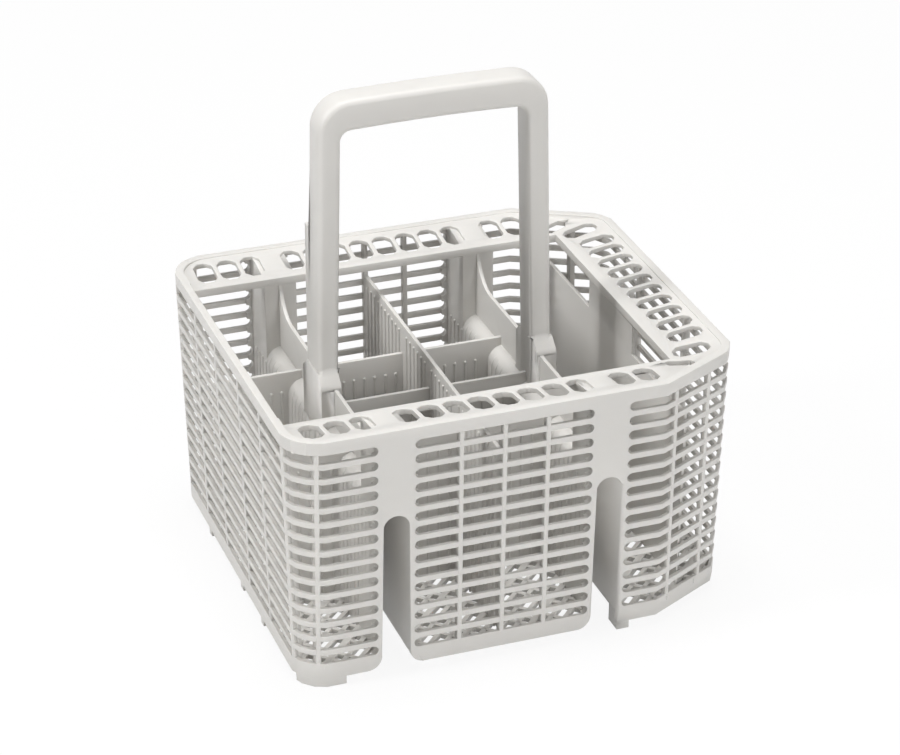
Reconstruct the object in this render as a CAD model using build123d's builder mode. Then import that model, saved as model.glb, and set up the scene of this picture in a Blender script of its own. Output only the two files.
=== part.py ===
from build123d import *
import os
from math import cos, pi, radians, sin, sqrt, tan

os.makedirs("parts", exist_ok=True)

# Overall sizes, millimetres. Plan positions along X are given from the handle's centre line.
reach_left = 98.2
reach_right = 118.7
depth = 195.6
wall_drop = 121.6
foot_drop = 4.4
handle_rise = 115.5

# Outline of the rim
corner_left = 18.0
flat_margin = 0.9
bend_x = 76.5
bend_round = 20.0
bevel_depth = 22.1
corner_right = 16.0
draft_angle = 1.5

# Slatted walls: slats outside, upright bars behind them
skin = 1.7
rows = 15
top_band = 6.3
bottom_band = 8.2
slat = 2.8
bar_width = 2.2
bar_depth = 1.8
front_bars = (-86.0, -20.2, 0.0, 20.2, 82.5, 102.7)
left_bars = (18.3, 51.0, 83.5)
right_bar = 27.0
panel_gap = 8.4

# Rim plates
border = 4.0
border_rise = 0.5
rim_depth = 28.5
rim_side = 29.2
rim_fall = 4.0
lip = 4.0
lip_thick = 2.0
plate = 2.4
hole_width = 9.4
hole_length = 16.0
hole_corner = 2.8
hole_line = 15.5
hole_pitch = 11.6
middle_holes = 8
left_hole_x = -83.6
left_holes = 3
right_hole_x = 60.6
right_holes = 2
side_slot_length = 16.6
side_slot_line = 14.6
side_slots = 10
fan_slots = ((91.2, 21.8, 15.0, 6.0, 22.0), (101.1, 31.2, 17.0, 9.4, 8.0))

# Tunnels through the basket and the ridges over them
tunnel_x = 50.0
tunnel_crown = 43.0
tunnel_width = 12.0
tunnel_foot_width = 13.5
ridge_wall = 1.8
ridge_flats = 5
panel_corner = 6.5

# Partitions and floor
partition = 1.8
middle_top = 22.0
fin_top = 23.0
cross_top = 37.0
cross_y = 37.5
shield_half = 26.0
floor_drop = 114.0
floor_thick = 3.0
floor_bar = 3.0
floor_bars = 13
floor_pitch = 23.0

# Handle
handle_half_top = 53.7
handle_half_foot = 57.4
handle_foot_drop = 46.0
post_width = 10.0
handle_depth = 15.5
handle_bar = 14.4
handle_corner = 15.0
handle_crown = 1.0
window_corner = 5.0
handle_edge = 1.6
rib_x = 53.8
rib_width = 2.4
rib_reach = 6.0
rib_rise = 50.0
pad_width = 9.8
pad_depth = 27.0
pad_drop = 16.0
pad_slope = 5.0

# Feet
corner_foot = 25.0
corner_foot_side = 14.0
foot_recess = 0.6
foot_thick = 3.0
tunnel_foot = 6.0
tunnel_foot_run = 13.5
left_feet = (-34.5, -2.0, 51.0)
left_foot_width = 4.0

# Derived places
length = reach_left + reach_right
centre_x = (reach_left - reach_right) / 2
left_x = -length / 2
right_x = length / 2
half = depth / 2
wall_z = foot_drop
rim_z = wall_z + wall_drop
pitch = (wall_drop - top_band - bottom_band + slat) / rows
gap = pitch - slat
slot_z = rim_z - top_band - gap / 2
plate_z = rim_z - border_rise
inner_right_x = right_x - rim_side
inner_y = half - rim_depth
fin_end = inner_y + lip_thick
fin_z = rim_z - rim_fall - plate / 2
fin_curve = fin_z - rim_z + fin_top
floor_z = rim_z - floor_drop
crown_z = rim_z - tunnel_crown
tunnel_spring_z = crown_z - tunnel_width / 2
ridge_half = tunnel_width / 2 + ridge_wall
ridge_foot_half = tunnel_foot_width / 2 + ridge_wall
shield_x = inner_right_x + lip_thick / 2
handle_top_z = rim_z + handle_rise
handle_foot_z = rim_z - handle_foot_drop
window_z = handle_top_z - handle_bar
window_half_top = handle_half_top - post_width
pad_x = handle_half_foot - post_width / 2

# Flats that stand for a round inner corner: three in each square corner, one in each bevelled corner
first_cut = 2 - sqrt(2)
second_cut = tan(radians(22.5)) - tan(radians(11.25))
side_cut = 0.36
corner_flat = corner_left + flat_margin


def along(x):
    return centre_x + x


tunnel_foot_x = along(tunnel_x) + tunnel_foot_width / 2

# Outline of the rim, seen from above
rim_plane = Plane.XY.offset(rim_z)
with BuildSketch(rim_plane) as corners:
    with BuildLine():
        Polyline(
            (left_x, -half),
            (along(bend_x), -half),
            (right_x, -half + bevel_depth),
            (right_x, half - bevel_depth),
            (along(bend_x), half),
            (left_x, half),
            close=True,
        )
    make_face()
with BuildSketch(rim_plane) as outline:
    add(corners.sketch)
    fillet(outline.vertices().group_by(Axis.X)[1], bend_round)
    fillet(outline.vertices().group_by(Axis.X)[0], corner_left)
    fillet(outline.vertices().group_by(Axis.X)[-1], corner_right)


# Drafted volume under the rim, its sides moved in from the outer faces and its corners cut flat
def volume_inside(inset, drop):
    inner_corner = corner_flat - inset
    side_corner = corner_right - inset
    with BuildPart() as volume:
        with BuildSketch(rim_plane) as section:
            add(corners.sketch)
            offset(amount=-inset, kind=Kind.INTERSECTION)
            chamfer(section.vertices().group_by(Axis.X)[0], inner_corner * first_cut)
            chamfer(section.vertices().group_by(Axis.X)[:2], inner_corner * second_cut)
            chamfer(section.vertices().group_by(Axis.X)[-1], side_corner * side_cut)
        extrude(amount=-drop)
        sides = volume.faces().filter_by(Axis.Z, reverse=True)
        draft(sides, rim_plane, -draft_angle)
    return volume.part


inside_slats = volume_inside(skin, wall_drop)
inside_bars = volume_inside(skin + bar_depth, wall_drop)
partition_reach = volume_inside(skin + bar_depth / 2, wall_drop)
floor_reach = volume_inside(skin / 2, wall_drop)

# Slatted walls
panel_left = along(-tunnel_x - panel_gap)
panel_right = along(tunnel_x + panel_gap)
middle_width = 2 * (tunnel_x - panel_gap)
with BuildPart() as walls:
    add(volume_inside(0, wall_drop))
    add(inside_slats, mode=Mode.SUBTRACT)
    with BuildSketch(Plane.XZ) as slots:
        for row in range(rows):
            row_z = slot_z - row * pitch
            with Locations((panel_left - length / 2, row_z), (panel_right + length / 2, row_z)):
                Rectangle(length, gap)
            with Locations((centre_x, row_z)):
                Rectangle(middle_width, gap)
    extrude(amount=depth, both=True, mode=Mode.SUBTRACT)

# Round-cornered band above the slats
with BuildPart() as band:
    add(outline.sketch)
    extrude(amount=-top_band)
    draft(band.faces().filter_by(Axis.Z, reverse=True), rim_plane, -draft_angle)
    add(inside_slats, mode=Mode.SUBTRACT)

# Upright bars behind the slats, and the solid bands over the tunnels
with BuildPart() as bars:
    add(inside_slats)
    add(inside_bars, mode=Mode.SUBTRACT)
    with BuildSketch():
        for x in front_bars:
            with Locations((along(x), 0)):
                Rectangle(bar_width, depth)
        for x in (-tunnel_x, tunnel_x):
            with Locations((along(x), 0)):
                Rectangle(2 * panel_gap, depth)
        for y in left_bars:
            with Locations((left_x, y), (left_x, -y)):
                Rectangle(corner_left, bar_width)
        with Locations((right_x, right_bar), (right_x, -right_bar)):
            Rectangle(corner_left, bar_width)
    extrude(amount=rim_z, mode=Mode.INTERSECT)

# Front and back rim plates
with BuildPart() as long_plates:
    with BuildSketch(Plane.YZ.offset(left_x)):
        with BuildLine():
            Polyline(
                (-half, plate_z),
                (-half + border, plate_z),
                (-inner_y, rim_z - rim_fall),
                (-inner_y, rim_z - rim_fall - lip),
                (-inner_y - lip_thick, rim_z - rim_fall - lip),
                (-inner_y - lip_thick, rim_z - rim_fall - plate),
                (-half + border, rim_z - plate),
                (-half, rim_z - plate),
                close=True,
            )
        make_face()
    extrude(amount=length)
    with BuildSketch():
        with BuildLine():
            Polyline(
                (left_x, -half),
                (right_x, -half),
                (inner_right_x, -inner_y),
                (left_x, -inner_y),
                close=True,
            )
        make_face()
    extrude(amount=rim_z, mode=Mode.INTERSECT)
    mirror(about=Plane.XZ)

# Right rim plate
with BuildPart() as side_plate:
    with BuildSketch(Plane.XZ):
        with BuildLine():
            Polyline(
                (right_x, plate_z),
                (right_x - border, plate_z),
                (inner_right_x, rim_z - rim_fall),
                (inner_right_x, rim_z - rim_fall - lip),
                (inner_right_x + lip_thick, rim_z - rim_fall - lip),
                (inner_right_x + lip_thick, rim_z - rim_fall - plate),
                (right_x - border, rim_z - plate),
                (right_x, rim_z - plate),
                close=True,
            )
        make_face()
    extrude(amount=depth, both=True)
    with BuildSketch():
        with BuildLine():
            Polyline(
                (right_x, -half),
                (right_x, half),
                (inner_right_x, inner_y),
                (inner_right_x, -inner_y),
                close=True,
            )
        make_face()
    extrude(amount=rim_z, mode=Mode.INTERSECT)

# Raised border that follows the outline along the plates
with BuildPart() as raised_border:
    with BuildSketch(rim_plane):
        add(outline.sketch)
        offset(outline.sketch, amount=-border, mode=Mode.SUBTRACT)
        with Locations((inner_right_x - length / 2, 0)):
            Rectangle(length, 2 * inner_y, mode=Mode.SUBTRACT)
    extrude(amount=-plate)

# Rim: plates, border and holes
middle_run = (middle_holes - 1) * hole_pitch
hole_y = half - hole_line
with BuildPart() as rim:
    add([long_plates.part, side_plate.part, raised_border.part])
    add(volume_inside(skin / 2, wall_drop), mode=Mode.INTERSECT)
    with BuildSketch(Plane.XY.offset(rim_z)) as holes:
        for y in (-hole_y, hole_y):
            for number in range(middle_holes):
                with Locations((along(number * hole_pitch - middle_run / 2), y)):
                    Rectangle(hole_width, hole_length)
            for number in range(left_holes):
                with Locations((along(left_hole_x + number * hole_pitch), y)):
                    Rectangle(hole_width, hole_length)
            for number in range(right_holes):
                with Locations((along(right_hole_x + number * hole_pitch), y)):
                    Rectangle(hole_width, hole_length)
        with Locations((right_x - side_slot_line, 0)):
            with GridLocations(1, hole_pitch, 1, side_slots):
                Rectangle(side_slot_length, hole_width)
        for x, inward, slot_length, slot_width, turn in fan_slots:
            for side in (-1, 1):
                with Locations((along(x), side * (half - inward))):
                    Rectangle(slot_length, slot_width, rotation=side * turn)
        chamfer(holes.vertices(), hole_corner)
    extrude(amount=-rim_fall - plate - lip, mode=Mode.SUBTRACT)

# Ridges over the tunnels, with a fin along each and a pillar at both of its ends
with BuildPart() as ridges:
    for x in (-tunnel_x, tunnel_x):
        with BuildSketch(Plane.XZ):
            with BuildLine():
                Polyline(
                    (along(x) - ridge_foot_half, floor_z - floor_thick),
                    (along(x) + ridge_foot_half, floor_z - floor_thick),
                    *[
                        (along(x) + ridge_half * cos(turn), tunnel_spring_z + ridge_half * sin(turn))
                        for turn in (pi * flat / ridge_flats for flat in range(ridge_flats + 1))
                    ],
                    close=True,
                )
            make_face()
        extrude(amount=half, both=True)
    for x in (-tunnel_x, tunnel_x):
        with BuildSketch(Plane.YZ.offset(along(x))):
            with BuildLine():
                Polyline(
                    (fin_end - fin_curve, rim_z - fin_top),
                    (fin_curve - fin_end, rim_z - fin_top),
                )
                TangentArc(
                    (fin_end - fin_curve, rim_z - fin_top),
                    (fin_end, fin_z),
                    tangent=(1, 0),
                )
                TangentArc(
                    (fin_curve - fin_end, rim_z - fin_top),
                    (-fin_end, fin_z),
                    tangent=(-1, 0),
                )
                Polyline(
                    (fin_end, fin_z),
                    (half, rim_z - plate / 2),
                    (half, tunnel_spring_z),
                    (-half, tunnel_spring_z),
                    (-half, rim_z - plate / 2),
                    (-fin_end, fin_z),
                )
            make_face()
        extrude(amount=partition / 2, both=True)
    for x in (-tunnel_x, tunnel_x):
        with BuildSketch(Plane.YZ.offset(along(x))):
            for end, wall in ((-fin_end, -half), (fin_end, half)):
                with BuildLine():
                    Polyline(
                        (end, tunnel_spring_z),
                        (end, fin_z),
                        (wall, rim_z - plate / 2),
                        (wall, tunnel_spring_z),
                        close=True,
                    )
                make_face()
        extrude(amount=ridge_half, both=True)
    add(partition_reach, mode=Mode.INTERSECT)

# Partitions
on_floor = (Align.CENTER, Align.CENTER, Align.MIN)
with BuildPart() as partitions:
    with Locations((centre_x, 0, floor_z)):
        Box(partition, depth, floor_drop - middle_top, align=on_floor)
    for y in (-cross_y, 0, cross_y):
        with Locations((centre_x, y, floor_z)):
            Box(2 * tunnel_x, partition, floor_drop - cross_top, align=on_floor)
    for y in (-cross_y, cross_y):
        with Locations((left_x, y, floor_z)):
            Box(2 * (reach_left - tunnel_x), partition, floor_drop - cross_top, align=on_floor)
    with BuildSketch(Plane.YZ.offset(shield_x)):
        with BuildLine():
            Polyline(
                (-half, floor_z),
                (half, floor_z),
                (half, rim_z - fin_top),
                (shield_half, rim_z - fin_top),
                (shield_half, rim_z - rim_fall - lip / 2),
                (-shield_half, rim_z - rim_fall - lip / 2),
                (-shield_half, rim_z - fin_top),
                (-half, rim_z - fin_top),
                close=True,
            )
        make_face()
    extrude(amount=partition / 2, both=True)
    add(partition_reach, mode=Mode.INTERSECT)

# Open floor
with BuildPart() as floor:
    with BuildSketch(Plane.XY.offset(floor_z - floor_thick)):
        with GridLocations(floor_pitch * 2**0.5, 1, floor_bars, 1):
            Rectangle(floor_bar, length + depth, rotation=-45)
    extrude(amount=floor_thick)
    add(floor_reach, mode=Mode.INTERSECT)

# Handle
with BuildPart() as handle:
    with BuildSketch(Plane.XZ) as arch:
        with BuildLine():
            Polyline(
                (along(-handle_half_top), handle_top_z - handle_crown),
                (along(-handle_half_foot), handle_foot_z),
                (along(handle_half_foot), handle_foot_z),
                (along(handle_half_top), handle_top_z - handle_crown),
            )
            ThreePointArc(
                (along(handle_half_top), handle_top_z - handle_crown),
                (centre_x, handle_top_z),
                (along(-handle_half_top), handle_top_z - handle_crown),
            )
        make_face()
        fillet(arch.vertices().group_by(Axis.Y)[-1], handle_corner)
        with BuildSketch(mode=Mode.SUBTRACT) as window:
            with BuildLine():
                Polyline(
                    (along(-window_half_top), window_z - handle_crown),
                    (along(-handle_half_foot + post_width), handle_foot_z),
                    (along(handle_half_foot - post_width), handle_foot_z),
                    (along(window_half_top), window_z - handle_crown),
                )
                ThreePointArc(
                    (along(window_half_top), window_z - handle_crown),
                    (centre_x, window_z),
                    (along(-window_half_top), window_z - handle_crown),
                )
            make_face()
            fillet(window.vertices().group_by(Axis.Y)[-1], window_corner)
    extrude(amount=handle_depth / 2, both=True)
    outlines = handle.edges().group_by(Axis.Y)
    chamfer(ShapeList([*outlines[0], *outlines[-1]]) - handle.edges().group_by(Axis.Z)[0], handle_edge)
    for x in (-rib_x, rib_x):
        with Locations((along(x), 0, handle_foot_z)):
            Box(
                rib_width,
                handle_depth / 2 + rib_reach,
                handle_foot_drop + rib_rise,
                align=(Align.CENTER, Align.MIN, Align.MIN),
            )
    for x in (-pad_x, pad_x):
        with BuildSketch(Plane.YZ.offset(along(x))):
            with BuildLine():
                Polyline(
                    (-pad_depth / 2, handle_foot_z),
                    (-pad_depth / 2, rim_z - pad_drop - pad_slope),
                    (-handle_depth / 2, rim_z - pad_drop),
                    (handle_depth / 2, rim_z - pad_drop),
                    (pad_depth / 2, rim_z - pad_drop - pad_slope),
                    (pad_depth / 2, handle_foot_z),
                    close=True,
                )
            make_face()
        extrude(amount=pad_width / 2, both=True)

# Feet under the walls
with BuildPart() as feet:
    add(volume_inside(foot_recess, rim_z))
    add(volume_inside(foot_recess + foot_thick, rim_z), mode=Mode.SUBTRACT)
    with BuildSketch():
        with Locations((left_x, -half)):
            Rectangle(2 * corner_foot, 2 * corner_foot_side)
        for y in left_feet:
            with Locations((left_x, y)):
                Rectangle(corner_left, left_foot_width)
        with Locations((tunnel_foot_x + tunnel_foot / 2, 0)):
            Rectangle(tunnel_foot, depth)
    extrude(amount=foot_drop + bottom_band / 2, mode=Mode.INTERSECT)
    with Locations((tunnel_foot_x, -half, 0), (tunnel_foot_x, half, 0)):
        Box(ridge_wall, 2 * tunnel_foot_run, rim_z - floor_drop, align=(Align.MIN, Align.CENTER, Align.MIN))
    add(volume_inside(foot_recess, rim_z), mode=Mode.INTERSECT)

# The whole moulding, with the tunnels cut through it
with BuildPart() as basket:
    add([walls.part, band.part, bars.part, rim.part, ridges.part])
    add([partitions.part, floor.part, handle.part, feet.part])
    with BuildSketch(Plane.XZ):
        for x in (-tunnel_x, tunnel_x):
            with BuildLine():
                Polyline(
                    (along(x) - tunnel_width / 2, tunnel_spring_z),
                    (along(x) - tunnel_foot_width / 2, 0),
                    (along(x) + tunnel_foot_width / 2, 0),
                    (along(x) + tunnel_width / 2, tunnel_spring_z),
                )
                ThreePointArc(
                    (along(x) + tunnel_width / 2, tunnel_spring_z),
                    (along(x), crown_z),
                    (along(x) - tunnel_width / 2, tunnel_spring_z),
                )
            make_face()
        for x, side in ((-tunnel_x, -1), (-tunnel_x, 1), (tunnel_x, -1)):
            edge = along(x) + side * tunnel_foot_width / 2
            with BuildLine():
                TangentArc(
                    (edge, wall_z + panel_corner),
                    (edge + side * panel_corner, wall_z),
                    tangent=(0, -1),
                )
                Polyline(
                    (edge + side * panel_corner, wall_z),
                    (edge + side * panel_corner, 0),
                    (along(x), 0),
                    (along(x), wall_z + panel_corner),
                    (edge, wall_z + panel_corner),
                )
            make_face()
    extrude(amount=depth, both=True, mode=Mode.SUBTRACT)

basket.part.label = "basket"
export_step(basket.part, "parts/basket.step")
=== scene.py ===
import math

import bmesh
import bpy
from mathutils import Matrix, Vector
from mathutils.bvhtree import BVHTree


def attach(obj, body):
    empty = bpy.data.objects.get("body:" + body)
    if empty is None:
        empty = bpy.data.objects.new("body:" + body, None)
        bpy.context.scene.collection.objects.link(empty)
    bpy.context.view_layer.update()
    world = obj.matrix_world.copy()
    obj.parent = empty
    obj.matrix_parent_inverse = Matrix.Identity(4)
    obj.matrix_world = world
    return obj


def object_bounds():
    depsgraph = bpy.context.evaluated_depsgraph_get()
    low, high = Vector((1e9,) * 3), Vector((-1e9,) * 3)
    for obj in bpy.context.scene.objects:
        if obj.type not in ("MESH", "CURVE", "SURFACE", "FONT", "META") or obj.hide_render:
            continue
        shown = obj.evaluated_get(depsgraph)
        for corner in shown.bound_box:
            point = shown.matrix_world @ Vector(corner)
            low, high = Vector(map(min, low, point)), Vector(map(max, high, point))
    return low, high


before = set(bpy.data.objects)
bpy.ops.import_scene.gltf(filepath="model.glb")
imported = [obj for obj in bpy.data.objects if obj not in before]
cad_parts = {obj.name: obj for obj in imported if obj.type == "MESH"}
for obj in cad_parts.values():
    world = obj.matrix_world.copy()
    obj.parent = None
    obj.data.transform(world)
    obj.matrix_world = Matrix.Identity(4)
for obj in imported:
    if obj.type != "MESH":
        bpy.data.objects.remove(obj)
cad_low, cad_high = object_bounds()

# Lengths are in millimetres and become metres where a mesh is made
MM = 0.001

# Camera, worked out from the photograph: place in metres, angles in degrees, focal length in pixels
CAMERA_PLACE = (-0.4337, -1.1903, 0.7634)
CAMERA_PAN = 19.994
CAMERA_TILT = 27.916
CAMERA_ROLL = 0.082
CAMERA_FOCAL = 3086.3
PICTURE_WIDTH = 900
SENSOR_WIDTH = 36.0

# Places on the moulding, from its box
REACH_LEFT = 98.2
HANDLE_RISE = 115.5
LEFT = cad_low[0] / MM
RIGHT = cad_high[0] / MM
HALF_DEPTH = cad_high[1] / MM
RIM_Z = cad_high[2] / MM - HANDLE_RISE
CENTRE_X = LEFT + REACH_LEFT

# Walls
DRAFT = math.radians(1.5)
SKIN = 1.7
ROWS = 15
TOP_BAND = 6.3
BOTTOM_BAND = 8.2
WALL_DROP = 121.6
SLAT = 2.8
PANEL_GAP = 8.4
BAR_WIDTH = 2.2
BAR_DEPTH = 1.8
FRONT_BARS = (-86.0, -20.2, 0.0, 20.2, 82.5, 102.7)
LEFT_BARS = (18.3, 51.0, 83.5)
RIGHT_BAR = 27.0
LEFT_RIM_HALF = 76.0
PITCH = (WALL_DROP - TOP_BAND - BOTTOM_BAND + SLAT) / ROWS
SLOT = PITCH - SLAT

# Tunnels, partitions and floor
TUNNEL_X = 50.0
RIDGE_HALF = 7.8
RIDGE_FOOT_HALF = 8.55
RIDGE_SIDES = ((-TUNNEL_X, -1), (-TUNNEL_X, 1), (TUNNEL_X, -1), (TUNNEL_X, 1))
ROOF_PROUD = 0.06
SPRING_Z = RIM_Z - 49.0
PILLAR_Y = 71.3
PARTITION = 1.8
MIDDLE_HALF = 91.0
CROSS_Y = 37.5
FLOOR_Z = RIM_Z - 114.0
FLOOR_THICK = 3.0
BEVEL_START = 76.5
BEVEL_INSET = 22.1
BEVEL_RUN = 42.2
FLOOR_CORNER = 14.0
FLOOR_CORNER_SLOPE = 0.8
MAIN_BAR_PITCH = 23.0
FINE_BARS_PER_MAIN = 4
FINE_BAR_WIDTH = 2.0
FINE_BARS_EACH_WAY = 28
FINE_BAR_INSET = 0.3

# Drying ribs, with the turns of a head's rings in degrees
RIB_PITCH = 5.2
RIB_START = 4.6
RIB_RADIUS = 0.6
HEAD_RADIUS = 0.85
RIB_CLEAR = 2.4
RIB_ROOT = FLOOR_Z - 1.0
NECK = 1.0
CROSS_RIB_TOP = RIM_Z - 46.6
MIDDLE_RIB_TOP = RIM_Z - 25.5
LEFT_RIB_START = 2.5
LEFT_RIB_COUNT = 7
HEAD_TURNS = (-40, -10, 20, 50, 75)
SHOULDER = math.radians(52)
SHOULDER_SINK = 1.2

# Edges: rounding of the sharp ones, and of the bevelled ones that read as round
EDGE_ROUND = 0.22
HANDLE_ROUND = 1.0
HOLE_ROUND = 1.2
PAD_ROUND = 2.2
SHARP_ANGLE = math.radians(32)
SOFT_ANGLE = math.radians(58)
SHORT_EDGE = 0.7
WELD_REACH = 0.02
STRAIGHT_SHARE = 0.95
HANDLE_LOW = RIM_Z + 2.0
HOLE_HIGH = RIM_Z + 0.5
PAD_LOW = RIM_Z - 23.0
PAD_HIGH = RIM_Z - 14.0
PAD_HALF_DEPTH = 16.0

# Strip round the tunnel edge over the right foot, which stays sharp: slivers beside it spoil a bevel
FOOT_LEFT = CENTRE_X + TUNNEL_X + 5.5
FOOT_RIGHT = CENTRE_X + TUNNEL_X + 7.0

PLASTIC_COLOUR = (0.665, 0.650, 0.622)

# Lamps: name, place in metres, width and height in metres, power in watts
LAMPS = (
    ("front", (0.4, -2.3, 1.0), 1.2, 1.2, 23),
    ("left", (-2.0, 0.0, 1.5), 0.3, 1.2, 25),
    ("top", (0.0, 0.1, 2.2), 1.0, 1.0, 36),
)
LAMP_AIM = (0, 0, 0.1)
SURROUND_STRENGTH = 0.15
FLOOR_GLOW = 0.9


def shader_nodes(name):
    material = bpy.data.materials.new(name)
    material.use_nodes = True
    nodes = material.node_tree.nodes
    return material, nodes, material.node_tree.links, nodes["Principled BSDF"]


def plastic_material():
    """Satin moulded polypropylene: faint tone changes, a fine spark texture and a little depth."""
    material, nodes, links, shader = shader_nodes("grey_plastic")
    shader.inputs["Roughness"].default_value = 0.42
    shader.inputs["Specular IOR Level"].default_value = 0.42
    shader.inputs["Subsurface Weight"].default_value = 0.10
    shader.inputs["Subsurface Radius"].default_value = (0.004, 0.0035, 0.003)
    shader.inputs["Subsurface Scale"].default_value = 0.5
    place = nodes.new("ShaderNodeTexCoord")

    tone = nodes.new("ShaderNodeTexNoise")
    tone.inputs["Scale"].default_value = 14.0
    tone.inputs["Detail"].default_value = 3.0
    links.new(place.outputs["Object"], tone.inputs["Vector"])
    ramp = nodes.new("ShaderNodeValToRGB")
    ramp.color_ramp.elements[0].position = 0.3
    ramp.color_ramp.elements[1].position = 0.7
    ramp.color_ramp.elements[0].color = (*(c * 0.975 for c in PLASTIC_COLOUR), 1)
    ramp.color_ramp.elements[1].color = (*(c * 1.015 for c in PLASTIC_COLOUR), 1)
    links.new(tone.outputs["Fac"], ramp.inputs["Fac"])
    links.new(ramp.outputs["Color"], shader.inputs["Base Color"])

    grain = nodes.new("ShaderNodeTexNoise")
    grain.inputs["Scale"].default_value = 2200.0
    grain.inputs["Detail"].default_value = 2.0
    links.new(place.outputs["Object"], grain.inputs["Vector"])
    bump = nodes.new("ShaderNodeBump")
    bump.inputs["Strength"].default_value = 0.06
    bump.inputs["Distance"].default_value = 0.0002
    links.new(grain.outputs["Fac"], bump.inputs["Height"])
    links.new(bump.outputs["Normal"], shader.inputs["Normal"])
    return material


def math_step(group, operation, first, second):
    """One step of sums on the edges, with a socket or a number as the second value."""
    node = group.nodes.new("ShaderNodeMath")
    node.operation = operation
    group.links.new(first, node.inputs[0])
    if isinstance(second, (int, float)):
        node.inputs[1].default_value = second
    else:
        group.links.new(second, node.inputs[1])
    return node.outputs[0]


def product(group, first, second):
    """Both conditions at once, or a condition times a width."""
    return math_step(group, "MULTIPLY", first, second)


def between(group, value, low, high):
    above = math_step(group, "GREATER_THAN", value, low)
    below = math_step(group, "LESS_THAN", value, high)
    return product(group, above, below)


def runs_along(group, part, square):
    """One where an edge runs along an axis, which holds nearly all of its squared length."""
    share = math_step(group, "DIVIDE", product(group, part, part), square)
    return math_step(group, "GREATER_THAN", share, STRAIGHT_SHARE)


def edge_width_group():
    """Weighs each edge for the bevel: sharp edges a little, bevelled edges that read as round more."""
    group = bpy.data.node_groups.new("edge_widths", "GeometryNodeTree")
    group.interface.new_socket("Geometry", in_out="INPUT", socket_type="NodeSocketGeometry")
    group.interface.new_socket("Geometry", in_out="OUTPUT", socket_type="NodeSocketGeometry")
    start = group.nodes.new("NodeGroupInput")
    end = group.nodes.new("NodeGroupOutput")
    angle = group.nodes.new("GeometryNodeInputMeshEdgeAngle").outputs["Unsigned Angle"]
    place = group.nodes.new("ShaderNodeSeparateXYZ")
    position = group.nodes.new("GeometryNodeInputPosition")
    group.links.new(position.outputs["Position"], place.inputs["Vector"])
    height = place.outputs["Z"]

    ends = group.nodes.new("GeometryNodeInputMeshEdgeVertices")
    span = group.nodes.new("ShaderNodeVectorMath")
    span.operation = "SUBTRACT"
    group.links.new(ends.outputs["Position 1"], span.inputs[0])
    group.links.new(ends.outputs["Position 2"], span.inputs[1])
    measure = group.nodes.new("ShaderNodeVectorMath")
    measure.operation = "LENGTH"
    group.links.new(span.outputs["Vector"], measure.inputs[0])
    length = measure.outputs["Value"]
    parts = group.nodes.new("ShaderNodeSeparateXYZ")
    group.links.new(span.outputs["Vector"], parts.inputs["Vector"])
    square = product(group, length, length)
    upright = runs_along(group, parts.outputs["Z"], square)
    sideways = runs_along(group, parts.outputs["X"], square)

    sharp = math_step(group, "GREATER_THAN", angle, SHARP_ANGLE)
    mild = between(group, angle, SHARP_ANGLE, SOFT_ANGLE)
    long = math_step(group, "GREATER_THAN", length, SHORT_EDGE * MM)
    handle = math_step(group, "GREATER_THAN", height, HANDLE_LOW * MM)
    hole = product(group, between(group, height, PAD_HIGH * MM, HOLE_HIGH * MM), upright)
    pad = product(group, between(group, height, PAD_LOW * MM, PAD_HIGH * MM), sideways)
    pad = product(group, pad, between(group, place.outputs["Y"], -PAD_HALF_DEPTH * MM, PAD_HALF_DEPTH * MM))
    over_foot = product(group, between(group, place.outputs["X"], FOOT_LEFT * MM, FOOT_RIGHT * MM), upright)
    clear = product(group, long, math_step(group, "LESS_THAN", over_foot, 0.5))
    weight = product(group, product(group, sharp, clear), EDGE_ROUND / PAD_ROUND)
    for zone, radius in ((handle, HANDLE_ROUND), (hole, HOLE_ROUND), (pad, PAD_ROUND)):
        soft = product(group, product(group, mild, zone), radius / PAD_ROUND)
        weight = math_step(group, "MAXIMUM", weight, soft)

    smooth = group.nodes.new("GeometryNodeSetShadeSmooth")
    smooth.domain = "FACE"
    group.links.new(start.outputs["Geometry"], smooth.inputs["Geometry"])
    store = group.nodes.new("GeometryNodeStoreNamedAttribute")
    store.domain = "EDGE"
    store.data_type = "FLOAT"
    store.inputs["Name"].default_value = "bevel_weight_edge"
    group.links.new(smooth.outputs["Geometry"], store.inputs["Geometry"])
    group.links.new(weight, store.inputs["Value"])
    group.links.new(store.outputs["Geometry"], end.inputs["Geometry"])
    return group


def finish_moulding(node, material):
    """Gives the moulding its material, joins its facets and softens its edges."""
    node.data.materials.clear()
    node.data.materials.append(material)
    weld = node.modifiers.new("weld", "WELD")
    weld.merge_threshold = WELD_REACH * MM
    widths = node.modifiers.new("widths", "NODES")
    widths.node_group = edge_width_group()
    bevel = node.modifiers.new("edges", "BEVEL")
    bevel.width = PAD_ROUND * MM
    bevel.segments = 3
    bevel.limit_method = "WEIGHT"
    bevel.use_clamp_overlap = False
    bevel.harden_normals = True


def new_shape():
    return {"points": [], "faces": []}


def add_loft(shape, loops):
    """Closed skin over loops that have the same number of points."""
    start = len(shape["points"])
    count = len(loops[0])
    for loop in loops:
        shape["points"] += [Vector(point) for point in loop]
    for row in range(len(loops) - 1):
        for step in range(count):
            a = start + row * count + step
            b = start + row * count + (step + 1) % count
            shape["faces"].append((a, b, b + count, a + count))
    last = start + (len(loops) - 1) * count
    shape["faces"].append(tuple(reversed(range(start, start + count))))
    shape["faces"].append(tuple(range(last, last + count)))


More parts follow.
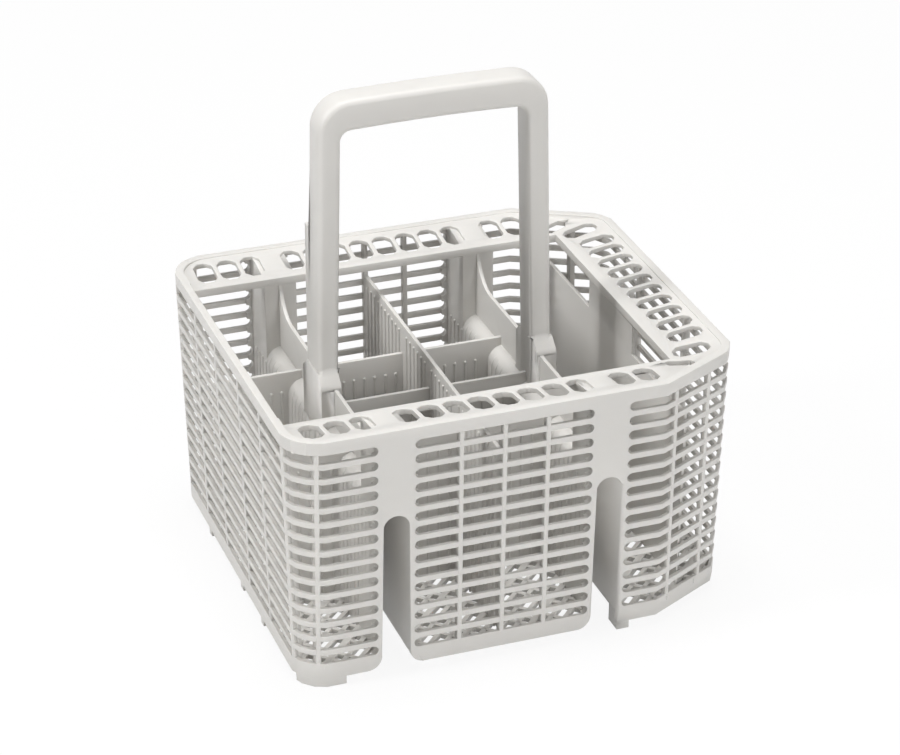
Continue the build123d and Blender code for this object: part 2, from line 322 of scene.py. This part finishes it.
def make_piece(name, shape, material, smooth_angle=40):
    """Turns a shape into a piece of the basket."""
    mesh = bpy.data.meshes.new(name)
    mesh.from_pydata([point * MM for point in shape["points"]], [], shape["faces"])
    work = bmesh.new()
    work.from_mesh(mesh)
    bmesh.ops.recalc_face_normals(work, faces=work.faces)
    for face in work.faces:
        face.smooth = True
    for edge in work.edges:
        edge.smooth = edge.calc_face_angle(0) < math.radians(smooth_angle)
    work.to_mesh(mesh)
    work.free()
    mesh.materials.append(material)
    piece = bpy.data.objects.new(name, mesh)
    bpy.context.scene.collection.objects.link(piece)
    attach(piece, "root")


def ring(centre, lean, radius, sides=8):
    """Round section of a rib that leans from upright within the XZ plane."""
    across = Vector((math.cos(lean), 0, -math.sin(lean)))
    depth = Vector((0, 1, 0))
    turns = [2 * math.pi * (side + 0.5) / sides for side in range(sides)]
    return [Vector(centre) + radius * (math.cos(turn) * across + math.sin(turn) * depth) for turn in turns]


def add_pin(shape, x, y, top):
    """Upright rib with a round head."""
    neck = top - 2 * HEAD_RADIUS - NECK
    loops = [ring((x, y, height), 0, RIB_RADIUS) for height in (RIB_ROOT, neck)]
    for turn in HEAD_TURNS:
        angle = math.radians(turn)
        height = top - HEAD_RADIUS + HEAD_RADIUS * math.sin(angle)
        loops.append(ring((x, y, height), 0, HEAD_RADIUS * math.cos(angle)))
    add_loft(shape, loops)


def add_shoulder_rib(shape, axis, side, y):
    """Rib up the side of a ridge that fades out over its round shoulder."""
    lean = math.atan2(RIDGE_FOOT_HALF - RIDGE_HALF, SPRING_Z - FLOOR_Z)
    loops = [
        ring((axis + side * RIDGE_FOOT_HALF, y, RIB_ROOT), -side * lean, RIB_RADIUS),
        ring((axis + side * RIDGE_HALF, y, SPRING_Z), -side * lean, RIB_RADIUS),
    ]
    steps = 5
    for step in range(1, steps + 1):
        turn = SHOULDER * step / steps
        sink = SHOULDER_SINK * RIB_RADIUS * (step / steps) ** 2
        reach = RIDGE_HALF - sink
        centre = (axis + side * reach * math.cos(turn), y, SPRING_Z + reach * math.sin(turn))
        loops.append(ring(centre, -side * turn, RIB_RADIUS))
    add_loft(shape, loops)


def rib_places(limit, clear_of=()):
    """Distances from the middle, both ways, at the rib pitch, clear of the partitions named."""
    count = int((limit - RIB_START) / RIB_PITCH) + 1
    one_way = [RIB_START + number * RIB_PITCH for number in range(count)]
    both = [-place for place in one_way] + one_way
    return [place for place in both if all(abs(abs(place) - wall) > RIB_CLEAR for wall in clear_of)]


def drying_ribs():
    """Ribs on the partitions, the ridges and their pillars."""
    shape = new_shape()
    face = PARTITION / 2
    for y in rib_places(MIDDLE_HALF, (CROSS_Y,)):
        for side in (-1, 1):
            add_pin(shape, CENTRE_X + side * face, y, MIDDLE_RIB_TOP)
    for wall in (-CROSS_Y, 0, CROSS_Y):
        for x in rib_places(TUNNEL_X - RIDGE_FOOT_HALF - RIB_CLEAR):
            for side in (-1, 1):
                add_pin(shape, CENTRE_X + x, wall + side * face, CROSS_RIB_TOP)
    left_start = CENTRE_X - TUNNEL_X - RIDGE_FOOT_HALF - LEFT_RIB_START
    for wall in (-CROSS_Y, CROSS_Y):
        for number in range(LEFT_RIB_COUNT):
            for side in (-1, 1):
                add_pin(shape, left_start - number * RIB_PITCH, wall + side * face, CROSS_RIB_TOP)
    for axis, side in RIDGE_SIDES:
        for y in rib_places(MIDDLE_HALF - RIB_CLEAR, (CROSS_Y,)):
            if abs(y) < PILLAR_Y:
                add_shoulder_rib(shape, CENTRE_X + axis, side, y)
            else:
                add_pin(shape, CENTRE_X + axis + side * RIDGE_HALF, y, SPRING_Z + HEAD_RADIUS)
    return shape


def ridge_roofs():
    """Smooth round skin over the flats of each ridge's roof, between its pillars."""
    shape = new_shape()
    steps = 20
    radius = RIDGE_HALF + ROOF_PROUD
    for axis in (-TUNNEL_X, TUNNEL_X):
        outer = []
        for step in range(steps + 1):
            turn = math.pi * step / steps
            outer.append((CENTRE_X + axis + radius * math.cos(turn), SPRING_Z + radius * math.sin(turn)))
        loops = []
        for y in (-PILLAR_Y, PILLAR_Y):
            loops.append([(x, y, z) for x, z in outer])
        add_loft(shape, loops)
    return shape


def wall_hit(tree, place, direction):
    """Point and outward direction of the outer wall face met by a ray."""
    hit, normal, _, _ = tree.ray_cast(Vector(place) * MM, Vector(direction))
    return hit / MM, Vector((normal.x, normal.y, 0)).normalized()


def wall_bars(tree):
    """Faces of the upright bars between the slats, a hair proud of the slats as on the real walls."""
    shape = new_shape()
    proud = 0.1
    edge = 0.35
    top = RIM_Z - TOP_BAND
    bottom = RIM_Z - WALL_DROP + BOTTOM_BAND
    far = 400
    casts = []
    for x in FRONT_BARS:
        casts += [((CENTRE_X + x, -far), (0, 1, 0)), ((CENTRE_X + x, far), (0, -1, 0))]
    for y in LEFT_BARS:
        casts += [((-far, y), (1, 0, 0)), ((-far, -y), (1, 0, 0))]
    casts += [((far, RIGHT_BAR), (-1, 0, 0)), ((far, -RIGHT_BAR), (-1, 0, 0))]
    slat_drop = TOP_BAND + SLOT + SLAT / 2
    first, last = RIM_Z - slat_drop, RIM_Z - slat_drop - (ROWS - 2) * PITCH
    for (x, y), direction in casts:
        upper, normal = wall_hit(tree, (x, y, first), direction)
        lower, _ = wall_hit(tree, (x, y, last), direction)
        along = Vector((-normal.y, normal.x, 0))
        half = BAR_WIDTH / 2
        section = [(-half, -SKIN), (-half, proud - edge), (edge - half, proud)]
        section += [(half - edge, proud), (half, proud - edge), (half, -SKIN)]
        loops = []
        for height in (bottom, top):
            share = (height - lower.z) / (upper.z - lower.z)
            middle = lower.lerp(upper, share)
            loops.append([middle + across * along + out * normal for across, out in section])
        add_loft(shape, loops)
    return shape


def left_rim():
    """Smooth inner side of the left wall's top band, over the upper ends of the bars."""
    shape = new_shape()
    sunk = 0.3
    cover = 0.1
    shy = 0.03
    edge = 0.3
    outer = LEFT + sunk
    inner = LEFT + SKIN + BAR_DEPTH + cover
    low, high = RIM_Z - TOP_BAND, RIM_Z - shy
    section = [(outer, low), (outer, high), (inner - edge, high), (inner, high - edge), (inner, low)]
    add_loft(shape, [[(x, y, z) for x, z in section] for y in (-LEFT_RIM_HALF, LEFT_RIM_HALF)])
    return shape


def slot_ends():
    """Round ends of the slots beside the tunnels, set into the square ends of the slots."""
    shape = new_shape()
    steps = 10
    radius = SLOT / 2
    bite = 0.35
    proud = 0.03
    for row in range(ROWS):
        middle_z = RIM_Z - TOP_BAND - SLOT / 2 - row * PITCH
        for axis, side in RIDGE_SIDES:
            end = CENTRE_X + axis + side * PANEL_GAP
            outline = [(end - side * bite, PITCH / 2), (end + side * radius, PITCH / 2)]
            for step in range(steps + 1):
                turn = math.pi / 2 + math.pi * step / steps
                outline.append((end + side * radius * (1 + math.cos(turn)), radius * math.sin(turn)))
            outline += [(end + side * radius, -PITCH / 2), (end - side * bite, -PITCH / 2)]
            for wall in (-1, 1):
                loops = []
                for depth in (-proud, SKIN + BAR_DEPTH):
                    loop = []
                    for x, rise in outline:
                        z = middle_z + rise
                        y = HALF_DEPTH - (RIM_Z - z) * math.tan(DRAFT) - depth
                        loop.append((x, wall * y, z))
                    loops.append(loop)
                add_loft(shape, loops)
    return shape


def floor_reach(x):
    """How far the floor goes towards the front and back walls at this place."""
    bend = CENTRE_X + BEVEL_START
    reach = HALF_DEPTH - (RIM_Z - FLOOR_Z) * math.tan(DRAFT) - SKIN / 2
    if x > bend:
        reach -= (x - bend) * BEVEL_INSET / BEVEL_RUN
    corner = LEFT + FLOOR_CORNER
    if x < corner:
        reach -= (corner - x) * FLOOR_CORNER_SLOPE
    return reach


def floor_lattice():
    """Fine crossing bars of the floor, between the main diagonal bars and the other way."""
    shape = new_shape()
    inset = (RIM_Z - FLOOR_Z) * math.tan(DRAFT) + SKIN
    spans = (
        (LEFT + inset, CENTRE_X - TUNNEL_X - RIDGE_HALF),
        (CENTRE_X - TUNNEL_X + RIDGE_HALF, CENTRE_X + TUNNEL_X - RIDGE_HALF),
        (CENTRE_X + TUNNEL_X + RIDGE_HALF, RIGHT - inset),
    )
    low, high = FLOOR_Z - FLOOR_THICK + FINE_BAR_INSET, FLOOR_Z - FINE_BAR_INSET
    step = MAIN_BAR_PITCH / FINE_BARS_PER_MAIN * math.sqrt(2)
    samples = 80
    for slope in (-1, 1):
        for number in range(-FINE_BARS_EACH_WAY, FINE_BARS_EACH_WAY + 1):
            is_main_bar = slope == -1 and number % FINE_BARS_PER_MAIN == 0
            if is_main_bar:
                continue
            start = number * step
            for left, right in spans:
                inside = []
                for sample in range(samples + 1):
                    x = left + (right - left) * sample / samples
                    y = slope * (x - start)
                    if abs(y) <= floor_reach(x):
                        inside.append((x, y))
                if len(inside) < 2:
                    continue
                across = Vector((-slope, 1, 0)).normalized() * FINE_BAR_WIDTH / 2
                loops = []
                for x, y in (inside[0], inside[-1]):
                    middle = Vector((x, y, 0))
                    section = [(-1, low), (-1, high), (1, high), (1, low)]
                    loops.append([middle + sign * across + Vector((0, 0, z)) for sign, z in section])
                add_loft(shape, loops)
    return shape


def add_camera():
    """Camera that sees the basket as the photograph does."""
    pan, tilt, roll = (math.radians(a) for a in (CAMERA_PAN, CAMERA_TILT, CAMERA_ROLL))
    ahead = Vector((math.sin(pan) * math.cos(tilt), math.cos(pan) * math.cos(tilt), -math.sin(tilt)))
    right = Vector((math.cos(pan), -math.sin(pan), 0))
    up = right.cross(ahead)
    right_rolled = math.cos(roll) * right + math.sin(roll) * up
    up_rolled = -math.sin(roll) * right + math.cos(roll) * up
    data = bpy.data.cameras.new("camera")
    data.sensor_width = SENSOR_WIDTH
    data.lens = CAMERA_FOCAL / PICTURE_WIDTH * SENSOR_WIDTH
    data.clip_end = 50
    camera = bpy.data.objects.new("camera", data)
    turn = Matrix((right_rolled, up_rolled, -ahead)).transposed()
    camera.matrix_world = Matrix.Translation(CAMERA_PLACE) @ turn.to_4x4()
    bpy.context.scene.collection.objects.link(camera)
    bpy.context.scene.camera = camera


def seen_directly(nodes, links):
    """One where the camera sees a thing directly, by mirror or through glass, and zero elsewhere."""
    ray = nodes.new("ShaderNodeLightPath")
    result = ray.outputs["Is Camera Ray"]
    for name in ("Is Glossy Ray", "Is Transmission Ray"):
        either = nodes.new("ShaderNodeMath")
        either.operation = "MAXIMUM"
        links.new(result, either.inputs[0])
        links.new(ray.outputs[name], either.inputs[1])
        result = either.outputs[0]
    return result


def add_floor():
    """White floor that shows white to the camera and keeps a faint shadow."""
    material, nodes, links, shader = shader_nodes("floor_white")
    shader.inputs["Base Color"].default_value = (0.88, 0.88, 0.88, 1)
    shader.inputs["Roughness"].default_value = 0.9
    glow = nodes.new("ShaderNodeEmission")
    share = nodes.new("ShaderNodeMath")
    share.operation = "MULTIPLY"
    share.inputs[1].default_value = FLOOR_GLOW
    links.new(seen_directly(nodes, links), share.inputs[0])
    mix = nodes.new("ShaderNodeMixShader")
    links.new(share.outputs[0], mix.inputs["Fac"])
    links.new(shader.outputs["BSDF"], mix.inputs[1])
    links.new(glow.outputs["Emission"], mix.inputs[2])
    links.new(mix.outputs["Shader"], nodes["Material Output"].inputs["Surface"])
    mesh = bpy.data.meshes.new("floor")
    size = 6.0
    mesh.from_pydata(
        [(-size, -size, 0), (size, -size, 0), (size, size, 0), (-size, size, 0)], [], [(0, 1, 2, 3)]
    )
    mesh.materials.append(material)
    floor = bpy.data.objects.new("floor", mesh)
    bpy.context.scene.collection.objects.link(floor)


def add_light(name, place, target, width, height, power):
    data = bpy.data.lights.new(name, "AREA")
    data.shape = "RECTANGLE"
    data.size = width
    data.size_y = height
    data.energy = power
    lamp = bpy.data.objects.new(name, data)
    lamp.location = place
    lamp.rotation_euler = (Vector(target) - Vector(place)).to_track_quat("-Z", "Y").to_euler()
    bpy.context.scene.collection.objects.link(lamp)


def light_world():
    """Soft even surround that the camera sees as white."""
    world = bpy.data.worlds.new("studio")
    bpy.context.scene.world = world
    world.use_nodes = True
    nodes, links = world.node_tree.nodes, world.node_tree.links
    surround = nodes["Background"]
    surround.inputs["Color"].default_value = (1, 1, 1, 1)
    surround.inputs["Strength"].default_value = SURROUND_STRENGTH
    white = nodes.new("ShaderNodeBackground")
    white.inputs["Strength"].default_value = 1.0
    mix = nodes.new("ShaderNodeMixShader")
    links.new(seen_directly(nodes, links), mix.inputs["Fac"])
    links.new(surround.outputs["Background"], mix.inputs[1])
    links.new(white.outputs["Background"], mix.inputs[2])
    links.new(mix.outputs["Shader"], nodes["World Output"].inputs["Surface"])


bpy.context.scene.view_settings.view_transform = "Standard"
plastic = plastic_material()
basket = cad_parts["basket"]
cad_tree = BVHTree.FromObject(basket, bpy.context.evaluated_depsgraph_get())
finish_moulding(basket, plastic)
make_piece("drying_ribs", drying_ribs(), plastic, 60)
make_piece("ridge_roofs", ridge_roofs(), plastic)
make_piece("wall_bars", wall_bars(cad_tree), plastic, 20)
make_piece("slot_ends", slot_ends(), plastic)
make_piece("left_rim", left_rim(), plastic)
make_piece("floor_lattice", floor_lattice(), plastic)
add_camera()
add_floor()
light_world()
for lamp_name, lamp_place, lamp_width, lamp_height, lamp_power in LAMPS:
    add_light(lamp_name, lamp_place, LAMP_AIM, lamp_width, lamp_height, lamp_power)
